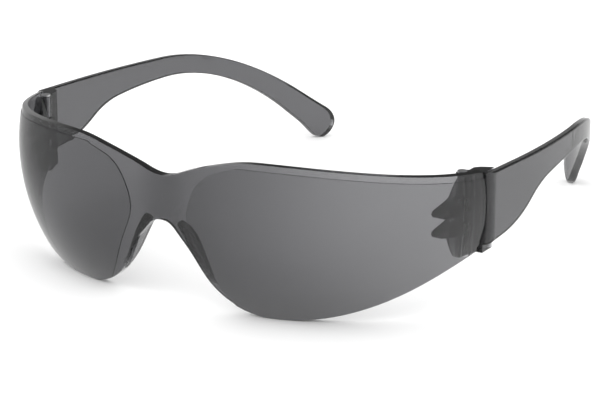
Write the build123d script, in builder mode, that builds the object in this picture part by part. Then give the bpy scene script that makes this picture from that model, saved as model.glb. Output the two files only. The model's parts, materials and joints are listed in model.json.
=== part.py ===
from build123d import *

import os

# Frameless wraparound safety glasses: one-piece lens, two folding temples and two hinge pins.
# Units are millimetres. +Z is up and the glasses face -Y. The origin is on the ground plane,
# under the middle of the bounding box, so +X is the wearer's left. Depths (Y) below are
# measured from the plane of the two lobe centres.

# ---- lens: two spherical lobes blended by a saddle ----
LOBE_Y = -21.85          # plane of the lobe centres, from the origin
LOBE_X = 17.1            # lobe centres stand this far either side of the middle
LOBE_Z = 28.4            # height of the lobe centres
LOBE_R = 54.4            # outer radius of each lobe
LENS_T = 2.2             # wall thickness straight ahead
TAPER = 0.8              # the inner lobe centres lie this much further out, which thins the sides
SADDLE_R = 28.0          # blend radius between the lobes, on the outside
BORDER_STEP = 0.3        # the border and bridge lie this far under the optical zones
BORDER_SADDLE_R = 46.0   # fuller blend under the bridge, which thickens its middle
BORDER_W = 1.5           # width of the border along the brow

BRIDGE_Z = 35.0          # brow height at the middle
BROW_X, BROW_Z = 28.9, 42.1          # highest point of the brow
BROW_R = 152.0           # brow curve outboard of that point
ARCH_Z = 23.3            # top of the nose arch
CHEEK_X, CHEEK_R = 29.0, 57.0        # lowest point of the lens and its sweep up to the side
REAR_Y = -12.0           # rear edge of the lens
REAR_BOW = 1.4           # how far that edge bows backwards at mid height
SPREAD = 73.0            # half width of the cutting outlines, wider than the lens
FIN_Y = 46.5             # the nose flanges lie further forward than this

# ---- hinge ----
AXIS_X, AXIS_Y = 65.0, -14.8         # vertical hinge axis, left side
BARREL_R = 1.6
PIN_R = 0.75
HEAD_R, HEAD_H = 1.25, 0.5
RUN_FIT = 0.04           # pin clearance in the temple knuckles, on the radius
GAP = 0.35               # clearance between moving and fixed mouldings
END_GAP = 0.3            # clearance between knuckle ends
HINGE_Z0, HINGE_Z1 = 15.3, 36.5      # bottom and top of the barrel
LENS_KNUCKLES = ((21.0, 24.2), (27.2, 30.4))
RIB_Z = (21.8, 26.9)     # underside of the two gusset ribs

# ---- temple ----
ARM_T = 2.1              # plate thickness
ARM_X = 71.3             # outer face at the hinge end
ARM_BEND = 4.0           # depth at which the plate starts to bend inwards
ARM_R1, ARM_TURN1 = 270.0, 8.0       # gentle bend along the head
ARM_R2, ARM_TURN2 = 105.0, 35.5      # tighter bend behind the ear
TIP_Y = 98.0             # rear end of the tips
ARM_EDGE = 0.5           # rounding of the plate edges

PLAN = Plane((0, LOBE_Y, 0))
LOBE_AXIS = Axis((0, LOBE_Y, LOBE_Z), (1, 0, 0))


def side(x):
    """Upright plane at the given X, with local x running backwards and local y up."""
    return Plane((x, LOBE_Y, 0), x_dir=(0, 1, 0), z_dir=(1, 0, 0))


def lobe_body(inset, saddle_radius=SADDLE_R):
    """Solid of revolution: two lobes and the saddle between them, inset from the outside."""
    centre = LOBE_X + TAPER * min(inset / LENS_T, 1)
    with BuildPart() as body:
        with BuildSketch(PLAN.offset(LOBE_Z)) as section:
            with Locations((-centre, 0), (centre, 0)):
                Circle(LOBE_R - inset)
            Rectangle(200, 100, align=(Align.CENTER, Align.MAX), mode=Mode.INTERSECT)
            fillet(section.vertices().sort_by(Axis.Y)[0], saddle_radius + inset)
        revolve(axis=LOBE_AXIS)
    return body.part


def hinge_columns(radius, bands):
    """Cylinders on the left hinge axis, one for each (bottom, top) pair."""
    with BuildPart() as columns:
        for low, high in bands:
            with BuildSketch(PLAN.offset(low)):
                with Locations((AXIS_X, AXIS_Y)):
                    Circle(radius)
            extrude(amount=high - low)
    return columns.part


outer_body = lobe_body(0)
border_body = lobe_body(BORDER_STEP, BORDER_SADDLE_R)
root_body = lobe_body(0.5 * LENS_T)
inner_body = lobe_body(LENS_T)
clear_body = lobe_body(LENS_T + GAP)

# knuckle bands of the temple lie between those of the lens
band_ends = [HINGE_Z0] + [z for band in LENS_KNUCKLES for z in band] + [HINGE_Z1]
temple_bands = [
    (band_ends[0], band_ends[1] - END_GAP),
    (band_ends[2] + END_GAP, band_ends[3] - END_GAP),
    (band_ends[4] + END_GAP, band_ends[5]),
]

# ---- front outline of the lens ----
brow_end = BROW_Z - BROW_R + (BROW_R**2 - (SPREAD - BROW_X) ** 2) ** 0.5
cheek_end = CHEEK_R - (CHEEK_R**2 - (SPREAD - CHEEK_X) ** 2) ** 0.5
with BuildPart() as outline:
    with BuildSketch(Plane.XZ):
        with BuildLine():
            Spline(
                (0, BRIDGE_Z), (6.1, 36.7), (13.7, 39.5), (20.5, 41.3), (BROW_X, BROW_Z),
                tangents=((1, 0), (1, 0)),
            )
            RadiusArc((BROW_X, BROW_Z), (SPREAD, brow_end), BROW_R)
            Line((SPREAD, brow_end), (SPREAD, cheek_end))
            RadiusArc((SPREAD, cheek_end), (CHEEK_X, 0), CHEEK_R)
            corner = TangentArc((CHEEK_X, 0), (12.9, 8.6), tangent=(-1, 0))
            Spline(
                (12.9, 8.6), (8.4, 16.3), (4.7, 20.6), (0, ARCH_Z),
                tangents=(corner % 1, (-1, 0)),
            )
            Line((0, ARCH_Z), (0, BRIDGE_Z))
        make_face()
        mirror(about=Plane.YZ)
    extrude(amount=90)

# ---- optical zones: they stand proud of the border, the bridge and the nose edge ----
with BuildPart() as zones:
    with BuildSketch(Plane.XZ):
        with BuildLine():
            Spline(
                (9.7, 21.4), (8.6, 26.3), (10.5, 32.7), (15.4, 37.9), (21.5, 40.0),
                (BROW_X, BROW_Z - BORDER_W),
                tangents=((-0.45, 1), (1, 0)),
            )
            RadiusArc((BROW_X, BROW_Z - BORDER_W), (SPREAD, brow_end - BORDER_W), BROW_R)
            Polyline((SPREAD, brow_end - BORDER_W), (SPREAD, -5), (24, -5), (16, 8), (9.7, 21.4))
        make_face()
        mirror(about=Plane.YZ)
    extrude(amount=90)

# ---- everything in front of the rear edge of the lens ----
with BuildPart() as ahead:
    with BuildSketch(side(-SPREAD)):
        with BuildLine():
            ThreePointArc(
                (REAR_Y - 1.1, 10), (REAR_Y - 1.1 + REAR_BOW, 26), (REAR_Y - 1.1, 43)
            )
            Polyline(
                (REAR_Y - 1.1, 43), (-65, 43), (-65, -5), (REAR_Y - 1.1, -5), (REAR_Y - 1.1, 10)
            )
        make_face()
    extrude(amount=2 * SPREAD)

# ---- nose flange, left side: a thin fin that runs back from the nose edge ----
with BuildPart() as nose_flange:
    with BuildSketch(Plane.XZ.offset(FIN_Y - LOBE_Y)):
        with BuildLine():
            inner = Spline((4.4, 22.2), (7.7, 16.9), (12.1, 8.8), (15.6, 5.0))
            Line(inner @ 1, (17.0, 6.2))
            outer = Spline((17.0, 6.2), (13.6, 9.8), (9.3, 17.8), (5.9, 23.6))
            ThreePointArc(outer @ 1, (4.8, 23.4), inner @ 0)
        make_face()
    extrude(amount=6)
    with BuildSketch(side(0)):
        with BuildLine():
            free_edge = Spline((-51.4, 24.7), (-48.3, 22.0), (-47.3, 17.0), (-47.8, 10.0), (-49.0, 4.0))
            Polyline(free_edge @ 1, (-54, 4), (-54, 24.7), free_edge @ 0)
        make_face()
    extrude(amount=20, mode=Mode.INTERSECT)
    add(root_body, mode=Mode.INTERSECT)

# ---- fixed half of the left hinge: web, two gusset ribs and two knuckles ----
WEB_Y = AXIS_Y - BARREL_R - GAP
with BuildPart() as lug:
    with BuildSketch(side(61)):
        with BuildLine():
            ThreePointArc((WEB_Y - 0.5, HINGE_Z1), (WEB_Y - 2.4, 25), (WEB_Y - 0.6, HINGE_Z0))
            Polyline(
                (WEB_Y - 0.6, HINGE_Z0), (WEB_Y + 0.1, HINGE_Z0), (WEB_Y + 0.1, HINGE_Z1),
                (WEB_Y - 0.5, HINGE_Z1),
            )
        make_face()
    extrude(amount=9)
    with BuildSketch(Plane.XZ):
        with BuildLine():
            ThreePointArc((64.9, HINGE_Z1), (62.2, 26), (63.6, HINGE_Z0))
            Polyline((63.6, HINGE_Z0), (SPREAD, HINGE_Z0), (SPREAD, HINGE_Z1), (64.9, HINGE_Z1))
        make_face()
    extrude(amount=90, mode=Mode.INTERSECT)
    for low in RIB_Z:
        with BuildSketch(side(58)):
            Polygon(
                (-18, low - 0.3), (-23.7, low), (-24.2, low + 0.8), (-23.7, low + 1.6),
                (-18, low + 3.4),
                align=None,
            )
        extrude(amount=12)
    with BuildSketch(PLAN):
        Polygon((60.4, -28), (62.2, -19), (62.2, -10), (72, -10), (72, -28), align=None)
    extrude(amount=45, mode=Mode.INTERSECT)
    for low, high in LENS_KNUCKLES:
        with BuildSketch(PLAN.offset(low)):
            with Locations((AXIS_X, AXIS_Y)):
                Circle(BARREL_R)
                Rectangle(2 * BARREL_R, BARREL_R + GAP + 0.6, align=(Align.CENTER, Align.MAX))
        extrude(amount=high - low)
    add(root_body, mode=Mode.INTERSECT)

swept = hinge_columns(
    BARREL_R + GAP, [(low - END_GAP, high + END_GAP) for low, high in temple_bands]
)
press_bore = hinge_columns(PIN_R, [(HINGE_Z0 - 1, HINGE_Z1 + 1)])

with BuildPart() as lens:
    add(border_body)
    add(outer_body & zones.part)
    add(inner_body, mode=Mode.SUBTRACT)
    add(outline.part, mode=Mode.INTERSECT)
    add(ahead.part, mode=Mode.INTERSECT)
    for half in (nose_flange.part, lug.part):
        add(half)
        add(mirror(half, about=Plane.YZ))
    for half in (swept, press_bore):
        add(half, mode=Mode.SUBTRACT)
        add(mirror(half, about=Plane.YZ), mode=Mode.SUBTRACT)

# ---- left temple: side view of the plate ----
with BuildPart() as arm_side:
    with BuildSketch(side(30)):
        with BuildLine():
            toe = Line((-16, 17.2), (-4, 18))
            rise = TangentArc(toe @ 1, (12.5, 23), tangent=toe % 1)
            ease = TangentArc(rise @ 1, (24, 26.7), tangent=rise % 1)
            run = TangentArc(ease @ 1, (45, 27.8), tangent=ease % 1)
            drop = TangentArc(run @ 1, (86.3, 9.4), tangent=run % 1)
            Spline(
                drop @ 1, (90.9, 4.1), (95.0, 0.008), (TIP_Y, 4.1), (95.9, 9.8),
                tangents=(drop % 1, (-0.741, 0.671)),
            )
            back = PolarLine((95.9, 9.8), 8.5, direction=(-0.741, 0.671))
            crown = TangentArc(back @ 1, (44, 33.9), tangent=back % 1)
            Line(crown @ 1, (-16, HINGE_Z1))
            Line((-16, HINGE_Z1), (-16, 17.2))
        make_face()
    extrude(amount=50)

# ---- left temple: plan of the plate, trimmed to its side view, with the hinge boss ----
with BuildPart() as temple_left:
    with BuildSketch(PLAN.offset(-1)):
        with BuildLine():
            bend_ends = []
            for cut, start in ((0, -8.8), (ARM_T, -12.0)):
                Line((ARM_X - cut, start), (ARM_X - cut, ARM_BEND))
                bend = JernArc((ARM_X - cut, ARM_BEND), (0, 1), ARM_R1 - cut, ARM_TURN1)
                hook = JernArc(bend @ 1, bend % 1, ARM_R2 - cut, ARM_TURN2 + 3)
                bend_ends.append(hook @ 1)
            Line(bend_ends[0], bend_ends[1])
            shoulder = ThreePointArc((ARM_X, -8.8), (ARM_X - 0.9, -11.3), (ARM_X - 3.0, -13.6))
            Line(shoulder @ 1, (ARM_X - ARM_T, -12.0))
        make_face()
    extrude(amount=60)
    add(arm_side.part, mode=Mode.INTERSECT)
    fillet(temple_left.edges().sort_by(SortBy.LENGTH)[-4:], ARM_EDGE)
    with BuildSketch(PLAN.offset(HINGE_Z0)):
        Polygon(
            (64.2, -14.8), (64.2, -12.4), (65.4, -11.8), (65.4, -9.4), (66.6, -8.0), (69.6, -6.6),
            (69.6, -14), (66.2, -14.8),
            align=None,
        )
    extrude(amount=HINGE_Z1 - HINGE_Z0)
    add(hinge_columns(BARREL_R, [(HINGE_Z0, HINGE_Z1)]))
    add(
        hinge_columns(
            BARREL_R + GAP, [(low - END_GAP, high + END_GAP) for low, high in LENS_KNUCKLES]
        ),
        mode=Mode.SUBTRACT,
    )
    add(ahead.part.moved(Location((0, GAP, 0))) - clear_body, mode=Mode.SUBTRACT)
    add(hinge_columns(PIN_R + RUN_FIT, [(HINGE_Z0 - 1, HINGE_Z1 + 1)]), mode=Mode.SUBTRACT)

# ---- left hinge pin, headed at the top ----
with BuildPart() as hinge_pin_left:
    with BuildSketch(PLAN.offset(HINGE_Z0)):
        with Locations((AXIS_X, AXIS_Y)):
            Circle(PIN_R)
    extrude(amount=HINGE_Z1 - HINGE_Z0 + 0.2)
    with BuildSketch(PLAN.offset(HINGE_Z1 + 0.05)):
        with Locations((AXIS_X, AXIS_Y)):
            Circle(HEAD_R)
    extrude(amount=HEAD_H)

with BuildPart() as temple_right:
    add(mirror(temple_left.part, about=Plane.YZ))

with BuildPart() as hinge_pin_right:
    add(mirror(hinge_pin_left.part, about=Plane.YZ))

os.makedirs("parts", exist_ok=True)
nodes = {
    "lens": lens,
    "temple_left": temple_left,
    "temple_right": temple_right,
    "hinge_pin_left": hinge_pin_left,
    "hinge_pin_right": hinge_pin_right,
}
for name, node in nodes.items():
    node.part.label = name
    export_step(node.part, f"parts/{name}.step")
    print(name, len(node.solids()), "solid(s)", round(node.part.volume, 1), node.part.bounding_box())
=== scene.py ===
"""Studio scene for the frameless safety glasses: materials, light, floor and camera."""
import json
from math import cos, radians, sin

import bpy
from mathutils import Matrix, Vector


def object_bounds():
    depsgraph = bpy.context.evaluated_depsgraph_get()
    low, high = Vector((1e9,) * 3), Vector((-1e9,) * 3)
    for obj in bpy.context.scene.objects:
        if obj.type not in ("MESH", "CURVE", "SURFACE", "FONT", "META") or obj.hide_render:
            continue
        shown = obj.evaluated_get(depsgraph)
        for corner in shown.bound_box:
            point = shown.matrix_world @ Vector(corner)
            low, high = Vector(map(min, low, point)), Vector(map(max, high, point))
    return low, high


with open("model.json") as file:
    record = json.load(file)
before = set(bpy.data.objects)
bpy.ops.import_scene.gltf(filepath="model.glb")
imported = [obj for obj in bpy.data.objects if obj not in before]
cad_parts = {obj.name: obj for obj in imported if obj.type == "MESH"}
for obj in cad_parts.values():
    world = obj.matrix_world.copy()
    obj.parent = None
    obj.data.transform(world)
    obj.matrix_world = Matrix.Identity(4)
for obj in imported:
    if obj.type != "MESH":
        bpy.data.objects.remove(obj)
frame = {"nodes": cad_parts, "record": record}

loaded_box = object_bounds()
box_low, box_high = (Vector(corner) for corner in loaded_box)
centre = (box_low + box_high) / 2

# ---- view ----
VIEW_AZIMUTH = radians(31.9)
VIEW_ELEVATION = radians(18.53)
VIEW_DISTANCE = 0.6257
VIEW_AIM = Vector((0.0084, -0.0219, 0.0151))      # from the origin, on the ground under the middle
FOCAL_LENGTH = 140.0                              # millimetres
SENSOR_WIDTH = 36.0                               # millimetres
CLIP_NEAR, CLIP_FAR = 0.01, 30.0

# ---- light; the pairs of a span are cosines to a direction, where a change starts and ends ----
WHITE = (1.0, 1.0, 1.0, 1.0)
SURROUND = 1.25                                   # white all round, as the table and glass see it
ROOM_DARK, ROOM_BRIGHT = 0.5, 0.85                # the room, as reflections see it
BRIGHT_SIDE = Vector((0.985, -0.17, 0.0))         # it is brightest over there
BRIGHT_SPAN = (0.05, 1.0)
UPWARDS = Vector((0.0, 0.0, 1.0))
UPPER_SPAN = (0.12, 0.34)
UPPER_DIM = 0.15                                  # share of the room's light left above that
TABLE_SIDE = Vector((0.0, 0.55, -0.85))           # the white table shows down there and behind
TABLE_SPAN = (0.2, 1.0)
TABLE_BRIGHT = 0.5

# ---- floor ----
FLOOR_HALF = 4.0                                  # metres from the middle to each side
FLOOR_COLOUR = (0.93, 0.93, 0.93, 1.0)
FLOOR_ROUGHNESS = 0.85
FLOOR_SPECULAR = 0.1

# ---- tinted plastic ----
POLYCARBONATE_IOR = 1.585
PLASTIC_COLOUR = (0.97, 0.97, 0.98, 1.0)
PLASTIC_CLEARNESS = 0.985                         # the small rest is diffuse
SMOKE_COLOUR = (0.0, 0.0, 0.02, 1.0)
LENS_DENSITY = 1040.0                             # absorption per metre of wall
TEMPLE_DENSITY = 1020.0
LENS_ROUGHNESS = (0.0, 0.03)                      # where the wiping haze is least and most
TEMPLE_ROUGHNESS = (0.02, 0.07)
HAZE_SCALE, HAZE_DETAIL = 420.0, 6.0
HAZE_SPAN = (0.35, 0.75)
RIPPLE_SCALE, RIPPLE_DETAIL = 60.0, 2.0
RIPPLE_STRENGTH = 0.12
LENS_RIPPLE = 0.00002                             # height of the moulding ripple
TEMPLE_RIPPLE = 0.00003

# ---- pin steel ----
STEEL_DARK = (0.55, 0.55, 0.56, 1.0)
STEEL_BRIGHT = (0.82, 0.82, 0.82, 1.0)
STEEL_ROUGHNESS = 0.28
GRAIN_SCALE, GRAIN_DETAIL = 3000.0, 4.0
GRAIN_STRENGTH = 0.2
GRAIN_HEIGHT = 0.00002

# ---- the Mix node's sockets for plain numbers; other kinds of value have their own A and B ----
MIX_FACTOR, MIX_A, MIX_B = 0, 2, 3


def new_material(name):
    """Empty node material; returns it with its nodes, its links and its output."""
    material = bpy.data.materials.new(name)
    material.use_nodes = True
    nodes = material.node_tree.nodes
    nodes.clear()
    output = nodes.new("ShaderNodeOutputMaterial")
    return material, nodes, material.node_tree.links, output


def noise(nodes, links, scale, detail):
    """Noise on object coordinates."""
    coordinates = nodes.new("ShaderNodeTexCoord").outputs["Object"]
    texture = nodes.new("ShaderNodeTexNoise")
    texture.inputs["Scale"].default_value = scale
    texture.inputs["Detail"].default_value = detail
    links.new(coordinates, texture.inputs["Vector"])
    return texture.outputs["Fac"]


def remap(nodes, links, value, source, target, interpolation):
    """A value taken from one range to another."""
    step = nodes.new("ShaderNodeMapRange")
    step.interpolation_type = interpolation
    step.inputs["From Min"].default_value = source[0]
    step.inputs["From Max"].default_value = source[1]
    step.inputs["To Min"].default_value = target[0]
    step.inputs["To Max"].default_value = target[1]
    links.new(value, step.inputs["Value"])
    return step.outputs["Result"]


def relief(nodes, links, height, strength, distance):
    """Surface normal that follows a height."""
    bump = nodes.new("ShaderNodeBump")
    bump.inputs["Strength"].default_value = strength
    bump.inputs["Distance"].default_value = distance
    links.new(height, bump.inputs["Height"])
    return bump.outputs["Normal"]


def tinted_polycarbonate(name, density, roughness, ripple_height):
    """Clear smoke-tinted plastic: absorption in the wall, faint moulding ripple and wiping haze."""
    material, nodes, links, output = new_material(name)
    shader = nodes.new("ShaderNodeBsdfPrincipled")
    shader.inputs["Base Color"].default_value = PLASTIC_COLOUR
    shader.inputs["Transmission Weight"].default_value = PLASTIC_CLEARNESS
    shader.inputs["IOR"].default_value = POLYCARBONATE_IOR

    haze = noise(nodes, links, HAZE_SCALE, HAZE_DETAIL)
    spread = remap(nodes, links, haze, HAZE_SPAN, roughness, "LINEAR")
    links.new(spread, shader.inputs["Roughness"])

    ripple = noise(nodes, links, RIPPLE_SCALE, RIPPLE_DETAIL)
    normal = relief(nodes, links, ripple, RIPPLE_STRENGTH, ripple_height)
    links.new(normal, shader.inputs["Normal"])

    absorption = nodes.new("ShaderNodeVolumeAbsorption")
    absorption.inputs["Color"].default_value = SMOKE_COLOUR
    absorption.inputs["Density"].default_value = density
    links.new(shader.outputs["BSDF"], output.inputs["Surface"])
    links.new(absorption.outputs["Volume"], output.inputs["Volume"])
    return material


def pin_steel(name):
    """Bright steel with a fine grain in its tone and its relief."""
    material, nodes, links, output = new_material(name)
    shader = nodes.new("ShaderNodeBsdfPrincipled")
    shader.inputs["Metallic"].default_value = 1.0
    shader.inputs["Roughness"].default_value = STEEL_ROUGHNESS

    grain = noise(nodes, links, GRAIN_SCALE, GRAIN_DETAIL)
    tone = nodes.new("ShaderNodeValToRGB")
    tone.color_ramp.elements[0].color = STEEL_DARK
    tone.color_ramp.elements[1].color = STEEL_BRIGHT
    links.new(grain, tone.inputs["Fac"])
    links.new(tone.outputs["Color"], shader.inputs["Base Color"])

    normal = relief(nodes, links, grain, GRAIN_STRENGTH, GRAIN_HEIGHT)
    links.new(normal, shader.inputs["Normal"])
    links.new(shader.outputs["BSDF"], output.inputs["Surface"])
    return material


def studio_floor():
    """Pale seamless floor, large enough to fill the view."""
    mesh = bpy.data.meshes.new("floor")
    corners = [
        (-FLOOR_HALF, -FLOOR_HALF, 0),
        (FLOOR_HALF, -FLOOR_HALF, 0),
        (FLOOR_HALF, FLOOR_HALF, 0),
        (-FLOOR_HALF, FLOOR_HALF, 0),
    ]
    mesh.from_pydata(corners, [], [(0, 1, 2, 3)])
    floor = bpy.data.objects.new("floor", mesh)
    bpy.context.scene.collection.objects.link(floor)
    material, nodes, links, output = new_material("floor_paper")
    shader = nodes.new("ShaderNodeBsdfPrincipled")
    shader.inputs["Base Color"].default_value = FLOOR_COLOUR
    shader.inputs["Roughness"].default_value = FLOOR_ROUGHNESS
    shader.inputs["Specular IOR Level"].default_value = FLOOR_SPECULAR
    links.new(shader.outputs["BSDF"], output.inputs["Surface"])
    mesh.materials.append(material)
    floor.visible_glossy = False


def set_up(thing, target, azimuth, elevation, distance):
    """Put a lamp or camera into the scene, at that angle from its target and looking at it."""
    direction = Vector((
        sin(azimuth) * cos(elevation),
        -cos(azimuth) * cos(elevation),
        sin(elevation),
    ))
    thing.location = target + direction * distance
    thing.rotation_euler = direction.to_track_quat("Z", "Y").to_euler()
    bpy.context.scene.collection.objects.link(thing)


def soft_box(name, azimuth, elevation, distance, size, power):
    """Square area light that looks at the middle of the glasses."""
    light = bpy.data.lights.new(name, "AREA")
    light.shape = "SQUARE"
    light.size = size
    light.energy = power
    lamp = bpy.data.objects.new(name, light)
    set_up(lamp, centre, azimuth, elevation, distance)


def towards(nodes, links, direction, goal):
    """How far a direction points towards a goal, as a cosine."""
    product = nodes.new("ShaderNodeVectorMath")
    product.operation = "DOT_PRODUCT"
    product.inputs[1].default_value = goal
    links.new(direction, product.inputs[0])
    return product.outputs["Value"]


def combine(nodes, links, operation, first, second):
    """Two values added, multiplied or the like."""
    math_node = nodes.new("ShaderNodeMath")
    math_node.operation = operation
    links.new(first, math_node.inputs[0])
    links.new(second, math_node.inputs[1])
    return math_node.outputs["Value"]


def studio_world():
    """White surround; reflections see a dim room with one bright side, over a white table."""
    world = bpy.data.worlds.new("studio")
    world.use_nodes = True
    nodes = world.node_tree.nodes
    links = world.node_tree.links
    background = nodes["Background"]
    background.inputs["Color"].default_value = WHITE

    direction = nodes.new("ShaderNodeTexCoord").outputs["Generated"]
    side = towards(nodes, links, direction, BRIGHT_SIDE)
    height = towards(nodes, links, direction, UPWARDS)
    below = towards(nodes, links, direction, TABLE_SIDE)
    walls = remap(nodes, links, side, BRIGHT_SPAN, (ROOM_DARK, ROOM_BRIGHT), "SMOOTHSTEP")
    fade = remap(nodes, links, height, UPPER_SPAN, (1.0, UPPER_DIM), "SMOOTHSTEP")
    table = remap(nodes, links, below, TABLE_SPAN, (0.0, TABLE_BRIGHT), "SMOOTHSTEP")
    room = combine(nodes, links, "MULTIPLY", walls, fade)
    seen = combine(nodes, links, "ADD", room, table)

    reflected = nodes.new("ShaderNodeLightPath").outputs["Is Glossy Ray"]
    mix = nodes.new("ShaderNodeMix")
    links.new(reflected, mix.inputs[MIX_FACTOR])
    mix.inputs[MIX_A].default_value = SURROUND
    links.new(seen, mix.inputs[MIX_B])
    links.new(mix.outputs[0], background.inputs["Strength"])
    bpy.context.scene.world = world


def studio_camera():
    """Long lens that looks slightly down at the glasses, from the front and the wearer's left."""
    camera_data = bpy.data.cameras.new("camera")
    camera_data.sensor_width = SENSOR_WIDTH
    camera_data.lens = FOCAL_LENGTH
    camera_data.clip_start = CLIP_NEAR
    camera_data.clip_end = CLIP_FAR
    camera = bpy.data.objects.new("camera", camera_data)
    set_up(camera, VIEW_AIM, VIEW_AZIMUTH, VIEW_ELEVATION, VIEW_DISTANCE)
    bpy.context.scene.camera = camera


looks = {
    "lens": tinted_polycarbonate("lens_smoke", LENS_DENSITY, LENS_ROUGHNESS, LENS_RIPPLE),
    "temple": tinted_polycarbonate("temple_smoke", TEMPLE_DENSITY, TEMPLE_ROUGHNESS, TEMPLE_RIPPLE),
    "pin": pin_steel("pin_steel"),
}
for part in frame["record"]["subparts"]:
    node = frame["nodes"][part["node"]]
    node.data.materials.clear()
    node.data.materials.append(looks[part["material_slot"]])

studio_floor()
studio_world()
soft_box("key", azimuth=radians(-30), elevation=radians(60), distance=1.2, size=1.0, power=4.0)
soft_box("fill", azimuth=radians(70), elevation=radians(40), distance=1.4, size=1.0, power=1.0)
studio_camera()
bpy.context.scene.view_settings.view_transform = "Standard"
